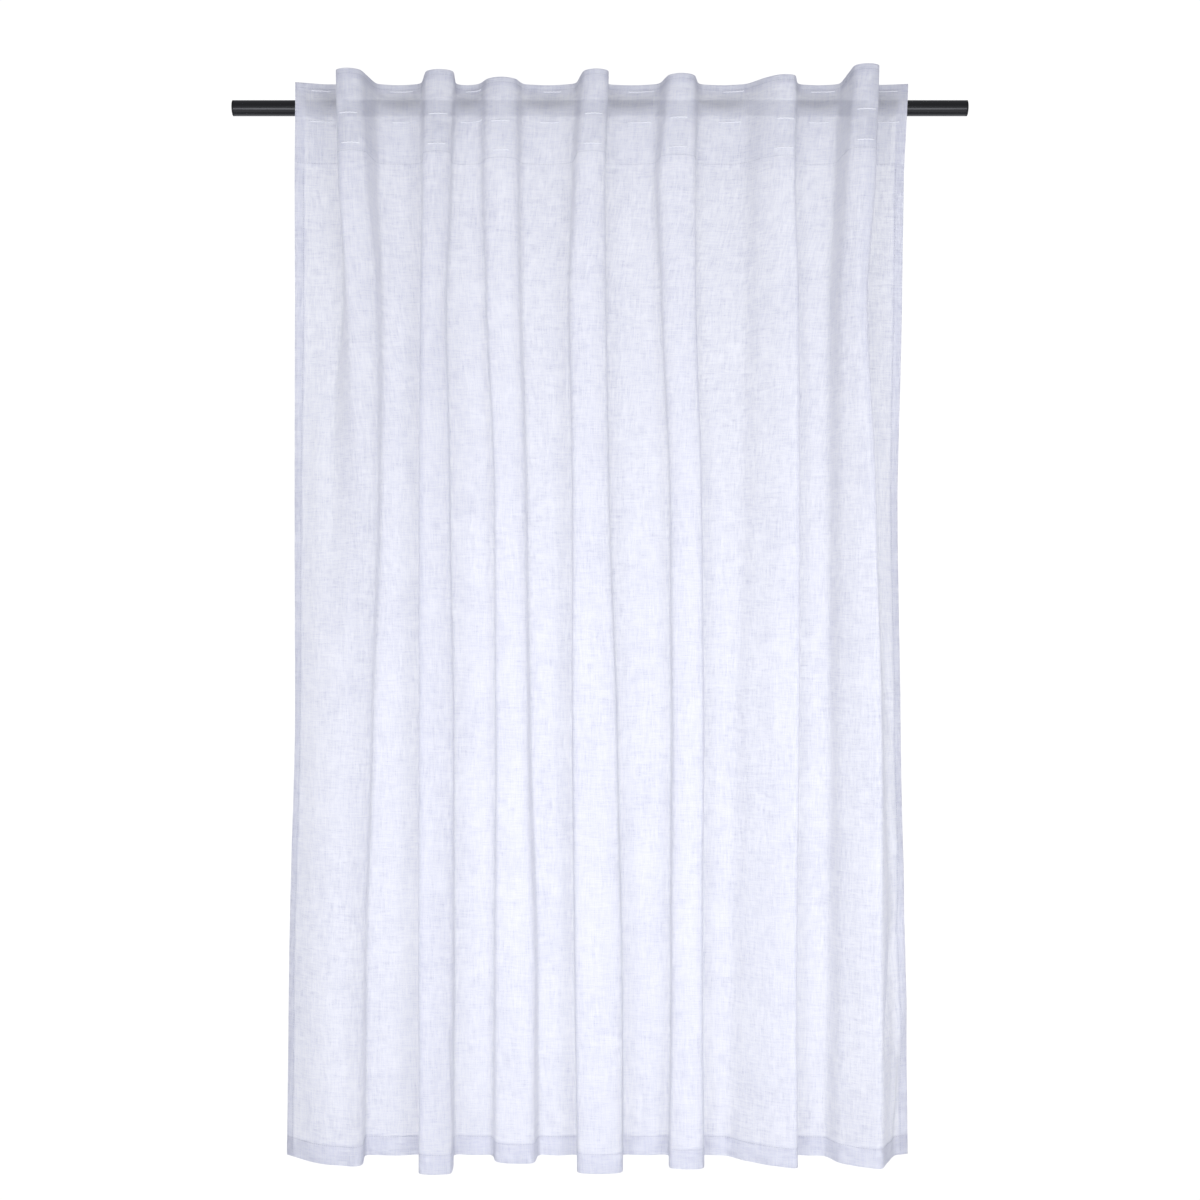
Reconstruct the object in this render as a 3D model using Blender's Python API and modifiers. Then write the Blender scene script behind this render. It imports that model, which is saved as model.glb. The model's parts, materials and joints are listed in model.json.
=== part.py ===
"""Window curtain on a rod: one gathered linen panel, its looped heading tape and a round steel rod.

Metres, +Z up. +X runs along the rod and -Y faces the room. The origin is on the rod's axis, halfway
along it. The panel is gathered into pleats, which stand forward, and spaces, which lie against the
rod. Each pleat and each space is a stiff upright strip of cloth with its own length of heading tape,
so that the strips can slide along the rod and close up on each other as the panel is drawn.
"""

import math

import bmesh
import bpy
from mathutils import Vector

# Rod
ROD_LENGTH = 0.945  # over the heads of the end plugs
ROD_DIAMETER = 0.020
ROD_WALL = 0.0010
ROD_SIDES = 48

# End plugs, pushed into the tube
PLUG_HEAD = 0.0015
PLUG_HEAD_CHAMFER = 0.0004
PLUG_SPIGOT = 0.018
PLUG_WALL = 0.0020
PLUG_RIB = 0.0004  # how far each grip rib stands out of the spigot
PLUG_RIB_LENGTH = 0.0020
PLUG_RIBS = 3
PLUG_FIT = 0.0003  # between the ribs and the bore, and between the head and the tube's end

# Panel
DROP = 1.370  # finished length, from the top edge to the bottom edge
HEADING = 0.026  # the top edge stands this far above the rod's axis
CLOTH = 0.0005
PANEL_OFFSET = 0.004  # middle of the panel from the middle of the rod
SPACE_WIDTHS = (0.060, 0.075, 0.048, 0.083, 0.078, 0.096, 0.064, 0.049)
PLEAT_DEPTHS = (0.055, 0.055, 0.032, 0.066, 0.048, 0.046, 0.080)
PLEAT_WIDTH = 0.032
PLEAT_CORNER = 0.0025
PLEAT_LAP = 0.0010  # each space reaches this far behind the pleats beside it
SIDE_HEM_WIDTH = 0.013
SIDE_HEM_LAYERS = 2  # turned under twice

# Heading tape and its loops
TAPE_HEIGHT = 0.100
TAPE_SETBACK = 0.004  # from the top edge down to the tape
TAPE = 0.0006
TAPE_SPACE_WIDTH = 0.034
LOOP = 0.0006
LOOP_WIDTH = 0.024
LOOP_TOP = 0.019  # upper end of a loop on the rod, above the rod's axis
LOOP_BOTTOM = -0.024  # its lower end
LOOP_SEAM = 0.0045  # sewn length at each end of a loop
SPARE_TOP = -0.027  # a spare loop hangs below the level of the rod
SPARE_BOTTOM = -0.068
SPARE_BOW = 0.0015
ARC_STEPS = 8

# Clearances
GAP = 0.0003  # between pieces that lie on each other
ROD_CLEARANCE = 0.0003  # between the rod and the tape and loops that slide on it
SLIDE_CLEARANCE = 0.0004  # between neighbouring layers that pass each other

# Planes across the panel, measured from the rod's axis towards the room
ROD_RADIUS = ROD_DIAMETER / 2
TAPE_BACK = ROD_RADIUS + ROD_CLEARANCE
REAR_SPACE_BACK = TAPE_BACK + TAPE + GAP
FRONT_SPACE_BACK = REAR_SPACE_BACK + CLOTH + SLIDE_CLEARANCE
PLEAT_BACK = FRONT_SPACE_BACK + CLOTH + GAP
TAPE_TOP = HEADING - TAPE_SETBACK

# Finishes: base colour, metallic, roughness
FINISHES = {
    "linen": ((0.78, 0.80, 0.88), 0.0, 0.90),
    "tape": ((0.84, 0.85, 0.90), 0.0, 0.80),
    "black_steel": ((0.012, 0.012, 0.014), 0.6, 0.38),
    "black_plastic": ((0.015, 0.015, 0.016), 0.0, 0.50),
}


def clear_scene():
    for old in list(bpy.data.objects):
        bpy.data.objects.remove(old)


def make_collection(name):
    collection = bpy.data.collections.new(name)
    bpy.context.scene.collection.children.link(collection)
    return collection


def make_materials():
    """One Principled material for each finish."""
    made = {}
    for name, (colour, metallic, roughness) in FINISHES.items():
        material = bpy.data.materials.new(name)
        material.use_nodes = True
        shader = material.node_tree.nodes["Principled BSDF"]
        shader.inputs["Base Color"].default_value = (*colour, 1.0)
        shader.inputs["Metallic"].default_value = metallic
        shader.inputs["Roughness"].default_value = roughness
        made[name] = material
    return made


def make_object(name, mesh, finish, parent=None):
    """Adds the mesh to the curtain as one named sub-part."""
    mesh.materials.append(MATERIALS[finish])
    part = bpy.data.objects.new(name, mesh)
    CURTAIN.objects.link(part)
    part.parent = parent
    return part


def carrier(name, x):
    """An empty on the rod's axis, which carries everything that slides along the rod together."""
    empty = bpy.data.objects.new(name, None)
    empty.empty_display_size = ROD_DIAMETER
    empty.location = (x, 0, 0)
    CURTAIN.objects.link(empty)
    return empty


def slab(name, finish, parent, x_range, y_range, z_range):
    """A flat rectangular layer between two corners, in its carrier's frame."""
    low = Vector((x_range[0], y_range[0], z_range[0]))
    high = Vector((x_range[1], y_range[1], z_range[1]))
    form = bmesh.new()
    bmesh.ops.create_cube(form, size=1.0)
    size = high - low
    bmesh.ops.scale(form, vec=size, verts=form.verts)
    bmesh.ops.translate(form, vec=(low + high) / 2, verts=form.verts)
    mesh = bpy.data.meshes.new(name)
    form.to_mesh(mesh)
    form.free()
    return make_object(name, mesh, finish, parent)


def strip(name, finish, parent, path, run, thickness):
    """A bent layer: the path is swept along run, then given its thickness about that surface."""
    form = bmesh.new()
    points = [form.verts.new(point) for point in path]
    edges = [form.edges.new(pair) for pair in zip(points, points[1:])]
    swept = bmesh.ops.extrude_edge_only(form, edges=edges)["geom"]
    moved = [item for item in swept if isinstance(item, bmesh.types.BMVert)]
    bmesh.ops.translate(form, vec=run, verts=moved)
    bmesh.ops.recalc_face_normals(form, faces=form.faces)
    mesh = bpy.data.meshes.new(name)
    form.to_mesh(mesh)
    form.free()
    part = make_object(name, mesh, finish, parent)
    solid = part.modifiers.new("thickness", "SOLIDIFY")
    solid.thickness = thickness
    solid.offset = 0.0
    solid.use_even_offset = True
    return part


def turned(name, finish, profile, closed):
    """A shape turned about its own Z axis from (radius, height) points, listed down the outer side."""
    form = bmesh.new()
    points = [form.verts.new((radius, 0, height)) for radius, height in profile]
    for pair in zip(points, points[1:]):
        form.edges.new(pair)
    if closed:
        form.edges.new((points[-1], points[0]))
    mesh = bpy.data.meshes.new(name)
    form.to_mesh(mesh)
    form.free()
    part = make_object(name, mesh, finish)
    screw = part.modifiers.new("turn", "SCREW")
    screw.steps = ROD_SIDES
    screw.render_steps = ROD_SIDES
    screw.use_merge_vertices = True
    screw.merge_threshold = 0.00001
    return part


def arc(centre, radius, start, end, steps=ARC_STEPS):
    """Points along an arc in a plane, from one angle to another, in radians."""
    angles = [start + (end - start) * step / steps for step in range(steps + 1)]
    return [(centre[0] + radius * math.cos(a), centre[1] + radius * math.sin(a)) for a in angles]


def make_rod():
    """The black tube, lying along X between the heads of its two plugs."""
    half = ROD_LENGTH / 2 - PLUG_HEAD - PLUG_FIT
    bore = ROD_RADIUS - ROD_WALL
    profile = [(ROD_RADIUS, half), (ROD_RADIUS, -half), (bore, -half), (bore, half)]
    rod = turned("rod_tube", "black_steel", profile, closed=True)
    rod.rotation_euler = (0, math.pi / 2, 0)


def plug_profile():
    """Half section of an end plug: a chamfered head on a hollow spigot with raised grip ribs."""
    ribbed = ROD_RADIUS - ROD_WALL - PLUG_FIT
    spigot = ribbed - PLUG_RIB
    pitch = PLUG_SPIGOT / (PLUG_RIBS + 1)
    profile = [
        (0.0, PLUG_HEAD),
        (ROD_RADIUS - PLUG_HEAD_CHAMFER, PLUG_HEAD),
        (ROD_RADIUS, PLUG_HEAD - PLUG_HEAD_CHAMFER),
        (ROD_RADIUS, 0.0),
        (spigot, 0.0),
    ]
    for rib in range(1, PLUG_RIBS + 1):
        middle = -rib * pitch
        profile.append((spigot, middle + PLUG_RIB_LENGTH / 2))
        profile.append((ribbed, middle))
        profile.append((spigot, middle - PLUG_RIB_LENGTH / 2))
    profile.append((spigot, -PLUG_SPIGOT))
    profile.append((spigot - PLUG_WALL, -PLUG_SPIGOT))
    profile.append((spigot - PLUG_WALL, 0.0))
    profile.append((0.0, 0.0))
    return profile


def make_plugs():
    """One plug at each end, head outwards and flush with the tube."""
    for side, name in ((-1, "rod_plug_left"), (1, "rod_plug_right")):
        plug = turned(name, "black_plastic", plug_profile(), closed=False)
        plug.location = (side * (ROD_LENGTH / 2 - PLUG_HEAD), 0, 0)
        plug.rotation_euler = (0, side * math.pi / 2, 0)


def header_layout():
    """Middles of the spaces and of the pleats along X, laid side by side from the left edge."""
    total = sum(SPACE_WIDTHS) + len(PLEAT_DEPTHS) * PLEAT_WIDTH
    edge = PANEL_OFFSET - total / 2
    spaces = []
    pleats = []
    for width in SPACE_WIDTHS:
        spaces.append(edge + width / 2)
        edge += width
        if len(pleats) < len(PLEAT_DEPTHS):
            pleats.append(edge + PLEAT_WIDTH / 2)
            edge += PLEAT_WIDTH
    return spaces, pleats


def tangent_angle(y, z, radius):
    """Angle, about the rod's axis, at which a line from (y, z) meets a circle of this radius."""
    lean = math.acos(radius / math.hypot(y, z))
    return math.atan2(z, y) + (-lean if z > 0 else lean)


def rod_loop(number, parent):
    """A band sewn to the tape above and below the rod, which passes round the back of the rod."""
    flange = -TAPE_BACK + GAP + LOOP / 2
    radius = ROD_RADIUS + ROD_CLEARANCE + LOOP / 2
    upper = LOOP_TOP - LOOP_SEAM
    lower = LOOP_BOTTOM + LOOP_SEAM
    start = tangent_angle(flange, upper, radius)
    end = tangent_angle(flange, lower, radius)
    section = [(flange, LOOP_TOP), (flange, upper)]
    section += arc((0, 0), radius, start, end, 2 * ARC_STEPS)
    section += [(flange, lower), (flange, LOOP_BOTTOM)]
    path = [(-LOOP_WIDTH / 2, y, z) for y, z in section]
    strip(f"rod_loop_{number}", "tape", parent, path, (LOOP_WIDTH, 0, 0), LOOP)


def spare_loop(number, parent, tape_back):
    """A loop that the rod doesn't use: it lies along the back of the tape with a slight bow."""
    flange = tape_back + GAP + LOOP / 2
    upper = SPARE_TOP - LOOP_SEAM
    lower = SPARE_BOTTOM + LOOP_SEAM
    section = [(flange, SPARE_TOP), (flange, upper)]
    for step in range(1, ARC_STEPS):
        share = step / ARC_STEPS
        bow = SPARE_BOW * math.sin(math.pi * share) ** 2
        section.append((flange + bow, upper + (lower - upper) * share))
    section += [(flange, lower), (flange, SPARE_BOTTOM)]
    path = [(-LOOP_WIDTH / 2, y, z) for y, z in section]
    strip(f"spare_loop_{number}", "tape", parent, path, (LOOP_WIDTH, 0, 0), LOOP)


def side_hem(name, parent, edge, side, cloth_back):
    """The turned-under side edge, below the heading tape. side is -1 at the left and 1 at the right."""
    inner = edge - side * SIDE_HEM_WIDTH
    slab(
        name,
        "linen",
        parent,
        (min(edge, inner), max(edge, inner)),
        (-cloth_back + GAP, -cloth_back + GAP + SIDE_HEM_LAYERS * CLOTH),
        (HEADING - DROP, TAPE_TOP - TAPE_HEIGHT - GAP),
    )


def make_space(number, x):
    """Flat strip of cloth against the rod, with its tape and the loop that carries it."""
    parent = carrier(f"space_{number}_carrier", x)
    half = SPACE_WIDTHS[number - 1] / 2
    first = number == 1
    last = number == len(SPACE_WIDTHS)
    # Neighbouring spaces lie in two planes, so that they pass each other as the panel closes up.
    back = REAR_SPACE_BACK if number % 2 else FRONT_SPACE_BACK
    left = -half if first else -half - PLEAT_LAP
    right = half if last else half + PLEAT_LAP
    heights = (HEADING - DROP, HEADING)
    slab(f"space_{number}", "linen", parent, (left, right), (-back - CLOTH, -back), heights)
    slab(
        f"tape_space_{number}",
        "tape",
        parent,
        (-TAPE_SPACE_WIDTH / 2, TAPE_SPACE_WIDTH / 2),
        (-TAPE_BACK - TAPE, -TAPE_BACK),
        (TAPE_TOP - TAPE_HEIGHT, TAPE_TOP),
    )
    rod_loop(number, parent)
    if first:
        side_hem("side_hem_left", parent, left, -1, back)
    if last:
        side_hem("side_hem_right", parent, right, 1, back)


def pleat_path(depth, z):
    """Plan of a pleat's middle surface: back edge, side, rounded corner, front, and the same back."""
    half = (PLEAT_WIDTH - CLOTH) / 2
    radius = PLEAT_CORNER - CLOTH / 2
    front = -PLEAT_BACK - depth + CLOTH / 2
    plan = [(-half, -PLEAT_BACK)]
    plan += arc((-half + radius, front + radius), radius, math.pi, 1.5 * math.pi)
    plan += arc((half - radius, front + radius), radius, 1.5 * math.pi, 2 * math.pi)
    plan.append((half, -PLEAT_BACK))
    return [(x, y, z) for x, y in plan]


def make_pleat(number, x):
    """Fold that stands forward between two spaces, lined at the top with tape and a spare loop."""
    parent = carrier(f"pleat_{number}_carrier", x)
    depth = PLEAT_DEPTHS[number - 1]
    strip(
        f"pleat_{number}",
        "linen",
        parent,
        pleat_path(depth, HEADING - DROP),
        (0, 0, DROP),
        CLOTH,
    )
    half = PLEAT_WIDTH / 2 - PLEAT_CORNER - GAP
    tape_front = -PLEAT_BACK - depth + CLOTH + GAP
    slab(
        f"tape_pleat_{number}",
        "tape",
        parent,
        (-half, half),
        (tape_front, tape_front + TAPE),
        (TAPE_TOP - TAPE_HEIGHT, TAPE_TOP),
    )
    spare_loop(number, parent, tape_front + TAPE)


clear_scene()
MATERIALS = make_materials()
CURTAIN = make_collection("window_curtain_on_rod")
make_rod()
make_plugs()
SPACE_MIDDLES, PLEAT_MIDDLES = header_layout()
for index, middle in enumerate(SPACE_MIDDLES, start=1):
    make_space(index, middle)
for index, middle in enumerate(PLEAT_MIDDLES, start=1):
    make_pleat(index, middle)
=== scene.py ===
"""Linen curtain panel on a round rod: the visual pieces, built around the fixed frame of the object.

The object's frame is in metres. +X runs along the rod, -Y faces the room and +Z is up, with the
origin on the rod's axis. The panel is one draped surface. Everything sewn to it is placed on that
surface by a distance along the cloth's width, a distance down from its top edge, and a distance behind
its face.
"""

import functools
import json
import math

import bmesh
import bpy
import numpy as np
from bpy.props import FloatProperty, PointerProperty, StringProperty
from bpy.types import Operator, Panel, PropertyGroup
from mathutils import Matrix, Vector

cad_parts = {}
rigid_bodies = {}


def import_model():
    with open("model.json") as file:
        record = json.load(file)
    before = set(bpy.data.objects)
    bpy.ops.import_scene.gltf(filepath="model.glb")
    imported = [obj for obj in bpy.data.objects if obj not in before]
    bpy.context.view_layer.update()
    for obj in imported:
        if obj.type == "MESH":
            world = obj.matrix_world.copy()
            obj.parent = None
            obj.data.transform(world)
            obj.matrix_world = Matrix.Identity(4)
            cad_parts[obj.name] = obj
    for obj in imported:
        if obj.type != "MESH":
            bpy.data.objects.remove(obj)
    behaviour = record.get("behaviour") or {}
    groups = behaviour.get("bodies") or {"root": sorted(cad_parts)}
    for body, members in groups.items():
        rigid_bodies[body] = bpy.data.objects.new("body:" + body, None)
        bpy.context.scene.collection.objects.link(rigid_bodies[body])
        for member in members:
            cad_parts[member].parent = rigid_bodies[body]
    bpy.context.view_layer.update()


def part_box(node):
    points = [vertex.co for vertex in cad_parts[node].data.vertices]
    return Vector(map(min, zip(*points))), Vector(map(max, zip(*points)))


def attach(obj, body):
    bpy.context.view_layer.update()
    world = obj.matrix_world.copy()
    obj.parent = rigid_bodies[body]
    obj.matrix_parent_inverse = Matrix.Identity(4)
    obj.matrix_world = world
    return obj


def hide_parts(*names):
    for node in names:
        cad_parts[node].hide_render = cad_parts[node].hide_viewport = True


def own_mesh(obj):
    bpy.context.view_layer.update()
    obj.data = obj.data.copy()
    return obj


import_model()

bl_info = {
    "name": "Linen Curtain on a Rod",
    "version": (1, 0, 0),
    "blender": (4, 5, 0),
    "location": "View3D > Sidebar > Curtain",
    "description": "Makes a gathered linen curtain panel, its looped heading tape and its rod",
    "category": "Object",
}

MM = 0.001


def numbered(stem, count):
    """Names of numbered nodes."""
    return [f"{stem}_{number}" for number in range(1, count + 1)]


# Places that the frame fixes
ROD_LOW, ROD_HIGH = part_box("rod_tube")
ROD_RADIUS = (ROD_HIGH[2] - ROD_LOW[2]) / 2
PLUG_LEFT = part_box("rod_plug_left")
PLUG_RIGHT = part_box("rod_plug_right")
SPACES = [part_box(name) for name in numbered("space", 8)]
PLEATS = [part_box(name) for name in numbered("pleat", 7)]
ROD_LOOPS = [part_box(name) for name in numbered("rod_loop", 8)]
SPARE_LOOPS = [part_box(name) for name in numbered("spare_loop", 7)]
TAPE_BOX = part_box("tape_space_1")
TOP = SPACES[0][1][2]
BOTTOM = SPACES[0][0][2]
TAPE_END = TOP - TAPE_BOX[0][2]  # the tape's lower edge, down from the top edge

# How the panel hangs. Levels are heights from the rod's axis, and each pleat has one value per level.
LEVELS = np.array([0.027, -0.10, -0.25, -0.50, -0.80, -1.10, -1.37])
EVEN = (1.0,) * len(LEVELS)
# How far the middle of each pleat's front wanders to the side of its place on the rod, in mm.
PLEAT_DRIFT = (
    (-5, 0, 11, 19, 10, 0, -2),
    (2, -2, -7, -5, -3, -3, -3),
    (-3, -3, -1, 7, 10, 14, 14),
    (2, -5, -9, -5, 0, 4, 6),
    (-1, -6, -4, 4, 7, 5, 4),
    (-4, -7, -5, -7, -12, -16, -18),
    (2, -3, -10, -3, 1, 1, -1),
)
# Width of each pleat's front, in mm.
PLEAT_FRONT = (
    (32, 37, 39, 26, 24, 24, 24),
    (35, 35, 33, 40, 45, 45, 45),
    (36, 41, 42, 40, 42, 50, 50),
    (32, 37, 47, 48, 57, 60, 57),
    (33, 46, 44, 41, 41, 41, 46),
    (36, 43, 50, 55, 63, 63, 68),
    (32, 36, 33, 44, 48, 48, 52),
)
# How far each pleat's sides lean outwards from its front to its foot, in mm. A side below 0 is undercut.
LEAN_LEFT = (
    (-2, 0, 10, 44, 58, 60, 60),
    (11, 6, 0, -1, -2, -2, -2),
    (11, 6, 2, 0, 0, 3, 5),
    (10, 6, 1, -1, -2, -2, -2),
    (10, 5, -1, -3, -3, -3, -3),
    (22, 20, 18, 18, 18, 18, 18),
    (7, 7, 9, 12, 13, 13, 13),
)
LEAN_RIGHT = (
    (12, 6, -1, -5, -5, -4, -3),
    (-2, -4, -5, -6, -6, -5, -5),
    (8, 2, 0, 0, 0, 2, 4),
    (-2, -2, -1, 0, 0, 0, 0),
    (7, 1, -1, -1, -1, -1, -1),
    (7, 1, -1, -1, 0, 0, 0),
    (-4, -3, -3, 3, 11, 24, 26),
)
# How far each pleat's feet stand ahead of the cloth between the pleats, in mm, at the heading and low down.
FOOT_LEFT = ((4, 6, 5, 7, 5, 5, 4), (-3, -6, -3, -6, -4, 0, 0))
FOOT_RIGHT = ((5, 3, 4, 3, 4, 4, 3), (-3, -5, -4, -5, -4, -4, -3))
# Depth of each pleat at the heading, in mm, and the share of it that is left at each level.
PLEAT_DEPTH = (60, 55, 27, 57, 41, 41, 76)
DEPTH_SHARE = (
    (1.0, 0.98, 0.92, 0.75, 0.6, 0.55, 0.5),
    EVEN,
    (1.0, 1.05, 1.2, 1.2, 1.1, 0.95, 0.9),
    (1.0, 0.97, 0.96, 0.94, 0.92, 0.9, 0.9),
    (1.0, 0.97, 1.0, 1.0, 1.0, 0.96, 0.95),
    (1.0, 1.0, 0.95, 0.95, 0.95, 0.95, 0.95),
    (1.0, 0.95, 0.85, 0.66, 0.58, 0.55, 0.55),
)
# Depth of a pleat's left front corner, as a share of its right one's: below 1, its front faces partly left.
SKEW = (
    EVEN,
    EVEN,
    (1.0, 1.0, 1.0, 0.95, 0.9, 0.85, 0.8),
    EVEN,
    EVEN,
    (0.75, 0.7, 0.55, 0.4, 0.35, 0.35, 0.35),
    (1.0, 0.95, 0.8, 0.6, 0.5, 0.5, 0.5),
)
DOME = (8, 7, 6, 4, 4, 4, 4)  # the middle of a pleat's front stands this far ahead of its corners, in mm
# How far the free side edges stand outside the heading's ends, and ahead of the cloth beside them, in mm.
LEFT_EDGE = (3, 5, 6, 8, 8, 15, 17)
RIGHT_EDGE = (1, -4, -5, -9, -4, 1, 3)
LEFT_FLARE = (14, 8, 0, -5, -4, -4, -4)
RIGHT_FLARE = (6, 2, -4, -17, -17, -10, -6)
# How far the cloth between the left edge and the first pleat bows forward into one rounded slope, 0 to 1.
LEFT_SWEEP = (0, 0, 0, 0.5, 0.9, 1, 1)
SPACE_FACE = 12.3 * MM  # from the rod's axis to the face of the cloth between the pleats
SPACE_SHOULDERS = (0.42, 0.6)  # the cloth between two pleats is flat between these shares of its width
FOLD_SOFTNESS = 6.0 * MM  # how far the corners of the plan are rounded
COLUMNS = 470  # points across the cloth
PLAN_STEPS = 1401  # points across it while its plan is worked out
CROWDING = 5.04  # how much denser the columns lie where the plan bends most

TURN = 0.45 * MM  # radius of the cloth's turned edges
LAYER = 2 * TURN  # from the face of the cloth to the layer turned in behind it
TOP_SEAM = 6.5 * MM  # the tape's upper row of stitches, down from the top edge
TAPE_SEAM = TAPE_END - 2.5 * MM  # its lower row
HEM_SEAM = 24 * MM  # the bottom hem's row of stitches, up from the bottom edge
STITCH_SHARE = 0.78  # the part of a stitch's length that lies on the face
STITCH_LIFT = 0.05 * MM
THREAD_SIDES = 6

TAPE_LAYER = LAYER + 0.15 * MM, LAYER + 0.7 * MM  # front and back of the tape, behind the cloth's face
TAPE_END_LAYER = LAYER + 0.8 * MM, LAYER + 1.3 * MM  # and of its folded ends
SPARE_LOOP_FRONT = LAYER + 0.95 * MM
BAND_STEPS = 14  # points down the face of the tape
LOOP_WALL = 0.6 * MM
LOOP_SEWN = 4.5 * MM  # sewn length at each end of a loop
ROD_WALL = 1.0 * MM
PLUG_HEAD = 1.5 * MM


def curve(levels_values, z):
    """Values given at LEVELS, carried to the heights z: halfway between straight and smooth steps."""
    known, values = LEVELS[::-1], np.asarray(levels_values, float)[::-1]
    place = np.clip(np.searchsorted(known, z) - 1, 0, len(known) - 2)
    share = np.clip((z - known[place]) / (known[place + 1] - known[place]), 0, 1)
    share = share * share * (3 - 2 * share) * 0.5 + share * 0.5
    return values[place] + (values[place + 1] - values[place]) * share


def ramp(value, start, end):
    """0 at start and 1 at end, with a smooth step between them."""
    share = np.clip((value - start) / (end - start), 0, 1)
    return share * share * (3 - 2 * share)


def bell(distance, width):
    """1 at no distance, falling to nothing on both sides as the exponential of its square."""
    return np.exp(-((distance / width) ** 2))


def wander(u, v, cell_u, cell_v, seed):
    """Smooth random field from -1 to 1: random values on a lattice of cells, joined by smooth steps."""
    rng = np.random.default_rng(seed)
    lattice = rng.uniform(-1, 1, (256, 256))
    a, b = u / cell_u + 64.0, v / cell_v + 64.0
    i, j = np.floor(a).astype(int), np.floor(b).astype(int)
    p, q = a - i, b - j
    p, q = p * p * (3 - 2 * p), q * q * (3 - 2 * q)
    i, j = i % 255, j % 255
    top = lattice[i, j] * (1 - p) + lattice[i + 1, j] * p
    low = lattice[i, j + 1] * (1 - p) + lattice[i + 1, j + 1] * p
    return top * (1 - q) + low * q


def crease(u, z, start, end, width, depth):
    """A ridge along a line on the cloth: a bell across the line, fading out smoothly at both of its ends."""
    run = np.subtract(end, start)
    length = np.hypot(*run)
    along = ((u - start[0]) * run[0] + (z - start[1]) * run[1]) / length**2
    across = ((u - start[0]) * run[1] - (z - start[1]) * run[0]) / length
    window = ramp(along, -0.1, 0.35) * (1 - ramp(along, 0.65, 1.1))
    return depth * window * bell(across, width)


def plan_corners(z, swell):
    """Corners of the panel's plan at each height: for each pleat its left foot, left front corner, domed
    middle, right front corner and right foot, with the flat stretches of cloth between them, and the panel's
    two side edges. swell scales the pleats' depths."""
    settle = ramp(-z, 0.05, 0.35)
    back = np.full_like(z, -SPACE_FACE)
    dome = curve(DOME, z) * MM
    left = SPACES[0][0][0] - curve(LEFT_EDGE, z) * MM
    right = SPACES[-1][1][0] + curve(RIGHT_EDGE, z) * MM
    fronts, feet = [], [left]
    for k, (low, high) in enumerate(PLEATS):
        middle = (low[0] + high[0]) / 2 + curve(PLEAT_DRIFT[k], z) * MM
        half = curve(PLEAT_FRONT[k], z) * MM / 2
        face = back - PLEAT_DEPTH[k] * MM * curve(DEPTH_SHARE[k], z) * swell
        left_face = back - (back - face) * curve(SKEW[k], z)
        foot_left = back - (FOOT_LEFT[0][k] * (1 - settle) + FOOT_LEFT[1][k] * settle) * MM
        foot_right = back - (FOOT_RIGHT[0][k] * (1 - settle) + FOOT_RIGHT[1][k] * settle) * MM
        start = middle - half - curve(LEAN_LEFT[k], z) * MM
        end = middle + half + curve(LEAN_RIGHT[k], z) * MM
        feet += [start, end]
        fronts.append([
            (start, foot_left), (middle - half, left_face), (middle, (face + left_face) / 2 - dome),
            (middle + half, face), (end, foot_right),
        ])
    feet.append(right)
    left_flare, right_flare = curve(LEFT_FLARE, z) * MM, curve(RIGHT_FLARE, z) * MM
    points = [(left, back - left_flare)]
    for k in range(len(PLEATS) + 1):
        start, end = feet[2 * k], feet[2 * k + 1]
        flare = left_flare if k == 0 else right_flare if k == len(PLEATS) else 0 * z
        nearness = (0.5, 0.25) if k == 0 else (0.25, 0.5)
        for share, near in zip(SPACE_SHOULDERS, nearness):
            points.append((start + (end - start) * share, back - flare * near))
        if k < len(PLEATS):
            points += fronts[k]
    points.append((right, back - right_flare))
    sweep, edge, corner = curve(LEFT_SWEEP, z), points[0], points[4]
    for number, share in ((1, 0.2), (2, 0.45), (3, 0.72)):
        x, y = points[number]
        bow_x = edge[0] + (corner[0] - edge[0]) * share
        bow_y = edge[1] + (corner[1] - edge[1]) * math.sin(share * math.pi / 2)
        points[number] = (x + (bow_x - x) * sweep, y + (bow_y - y) * sweep)
    return np.array(points).transpose(2, 0, 1)


def reach_along(line):
    """Distance along a line of points, from its first one."""
    return np.concatenate([[0], np.cumsum(np.linalg.norm(np.diff(line, axis=0), axis=1))])


def rounded(corners, softness, count):
    """A plan's corners joined by straight runs, cut into equal steps, and rounded by a moving bell-shaped
    average along the run. The two ends stay where they are."""
    reach = reach_along(corners)
    even = np.linspace(0, reach[-1], count)
    line = np.stack([np.interp(even, reach, corners[:, axis]) for axis in (0, 1)], axis=1)
    pitch = reach[-1] / (count - 1)
    half = max(2, int(math.ceil(3 * softness / pitch)))
    offsets = np.arange(-half, half + 1) * pitch
    weights = np.exp(-0.5 * (offsets / softness) ** 2)
    weights /= weights.sum()
    start = 2 * line[0] - line[half:0:-1]
    end = 2 * line[-1] - line[-2:-half - 2:-1]
    padded = np.concatenate([start, line, end])
    return np.stack([np.convolve(padded[:, axis], weights, "valid") for axis in (0, 1)], axis=1)


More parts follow.
